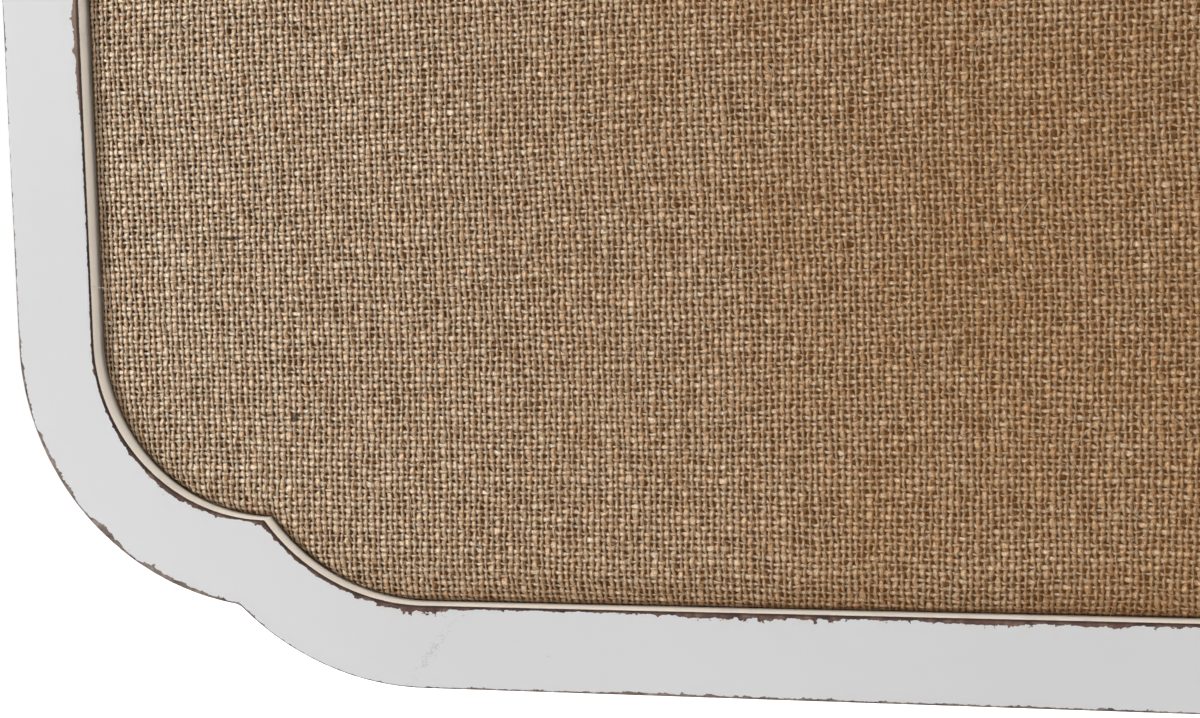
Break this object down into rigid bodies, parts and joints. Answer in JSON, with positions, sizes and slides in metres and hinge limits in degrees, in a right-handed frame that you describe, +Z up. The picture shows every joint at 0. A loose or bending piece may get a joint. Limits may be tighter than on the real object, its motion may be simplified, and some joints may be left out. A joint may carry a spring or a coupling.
{
  "type": "memo board",
  "caption": "Wall-hung memo board: a padded burlap panel in a white distressed wooden frame with scalloped, cusped corners, hung by strap rings.",
  "frame": {"origin": "on the wall plane, midway between the pins of the two hanging rings", "axes": "+Z up the board, +X to the right seen from the front, -Y out of the wall towards the viewer"},
  "size_m": [0.61, 0.026, 0.914],
  "materials": {
    "white_paint": "white paint over a brown base coat, rubbed through along the arrises",
    "beech": "bare beech",
    "burlap": "natural jute, plain weave",
    "wadding": "polyester wadding",
    "fibreboard": "soft fibreboard",
    "hardboard": "smooth hardboard",
    "zinc_steel": "zinc plated",
    "felt": "self-adhesive felt"
  },
  "bodies": {
    "board": {"left_stile": "white_paint", "right_stile": "white_paint", "top_rail": "white_paint", "bottom_rail": "white_paint", "lower_left_corner": "white_paint", "lower_right_corner": "white_paint", "upper_right_corner": "white_paint", "upper_left_corner": "white_paint", "lower_left_stile_dowel_1": "beech", "lower_left_stile_dowel_2": "beech", "lower_left_rail_dowel_1": "beech", "lower_left_rail_dowel_2": "beech", "lower_right_stile_dowel_1": "beech", "lower_right_stile_dowel_2": "beech", "lower_right_rail_dowel_1": "beech", "lower_right_rail_dowel_2": "beech", "upper_right_stile_dowel_1": "beech", "upper_right_stile_dowel_2": "beech", "upper_right_rail_dowel_1": "beech", "upper_right_rail_dowel_2": "beech", "upper_left_stile_dowel_1": "beech", "upper_left_stile_dowel_2": "beech", "upper_left_rail_dowel_1": "beech", "upper_left_rail_dowel_2": "beech", "insert_core": "fibreboard", "insert_padding": "wadding", "burlap_cover": "burlap", "back_panel": "hardboard", "left_upper_turn_screw": "zinc_steel", "right_upper_turn_screw": "zinc_steel", "left_middle_turn_screw": "zinc_steel", "right_middle_turn_screw": "zinc_steel", "left_lower_turn_screw": "zinc_steel", "right_lower_turn_screw": "zinc_steel", "top_turn_screw": "zinc_steel", "bottom_turn_screw": "zinc_steel", "left_hanger_strap": "zinc_steel", "left_hanger_upper_screw": "zinc_steel", "left_hanger_lower_screw": "zinc_steel", "right_hanger_strap": "zinc_steel", "right_hanger_upper_screw": "zinc_steel", "right_hanger_lower_screw": "zinc_steel", "lower_left_bumper": "felt", "lower_right_bumper": "felt", "upper_right_bumper": "felt", "upper_left_bumper": "felt"},
    "left_ring": {"left_hanger_ring": "zinc_steel"},
    "right_ring": {"right_hanger_ring": "zinc_steel"},
    "left_upper_button": {"left_upper_turn_button": "zinc_steel"},
    "right_upper_button": {"right_upper_turn_button": "zinc_steel"},
    "left_middle_button": {"left_middle_turn_button": "zinc_steel"},
    "right_middle_button": {"right_middle_turn_button": "zinc_steel"},
    "left_lower_button": {"left_lower_turn_button": "zinc_steel"},
    "right_lower_button": {"right_lower_turn_button": "zinc_steel"},
    "top_button": {"top_turn_button": "zinc_steel"},
    "bottom_button": {"bottom_turn_button": "zinc_steel"}
  },
  "joints": [
    {"name": "left_ring_swing", "type": "hinge", "parent": "board", "child": "left_ring", "pos_m": [-0.291, -0.0033, 0], "axis": [1, 0, 0], "range_deg": [0, 180]},
    {"name": "right_ring_swing", "type": "hinge", "parent": "board", "child": "right_ring", "pos_m": [0.291, -0.0033, 0], "axis": [1, 0, 0], "range_deg": [0, 180]},
    {"name": "left_upper_button_turn", "type": "hinge", "parent": "board", "child": "left_upper_button", "pos_m": [-0.291, -0.006, -0.087], "axis": [0, 1, 0], "continuous": true},
    {"name": "right_upper_button_turn", "type": "hinge", "parent": "board", "child": "right_upper_button", "pos_m": [0.291, -0.006, -0.087], "axis": [0, 1, 0], "continuous": true},
    {"name": "left_middle_button_turn", "type": "hinge", "parent": "board", "child": "left_middle_button", "pos_m": [-0.291, -0.006, -0.287], "axis": [0, 1, 0], "continuous": true},
    {"name": "right_middle_button_turn", "type": "hinge", "parent": "board", "child": "right_middle_button", "pos_m": [0.291, -0.006, -0.287], "axis": [0, 1, 0], "continuous": true},
    {"name": "left_lower_button_turn", "type": "hinge", "parent": "board", "child": "left_lower_button", "pos_m": [-0.291, -0.006, -0.487], "axis": [0, 1, 0], "continuous": true},
    {"name": "right_lower_button_turn", "type": "hinge", "parent": "board", "child": "right_lower_button", "pos_m": [0.291, -0.006, -0.487], "axis": [0, 1, 0], "continuous": true},
    {"name": "top_button_turn", "type": "hinge", "parent": "board", "child": "top_button", "pos_m": [0, -0.006, 0.156], "axis": [0, 1, 0], "continuous": true},
    {"name": "bottom_button_turn", "type": "hinge", "parent": "board", "child": "bottom_button", "pos_m": [0, -0.006, -0.73], "axis": [0, 1, 0], "continuous": true}
  ]
}
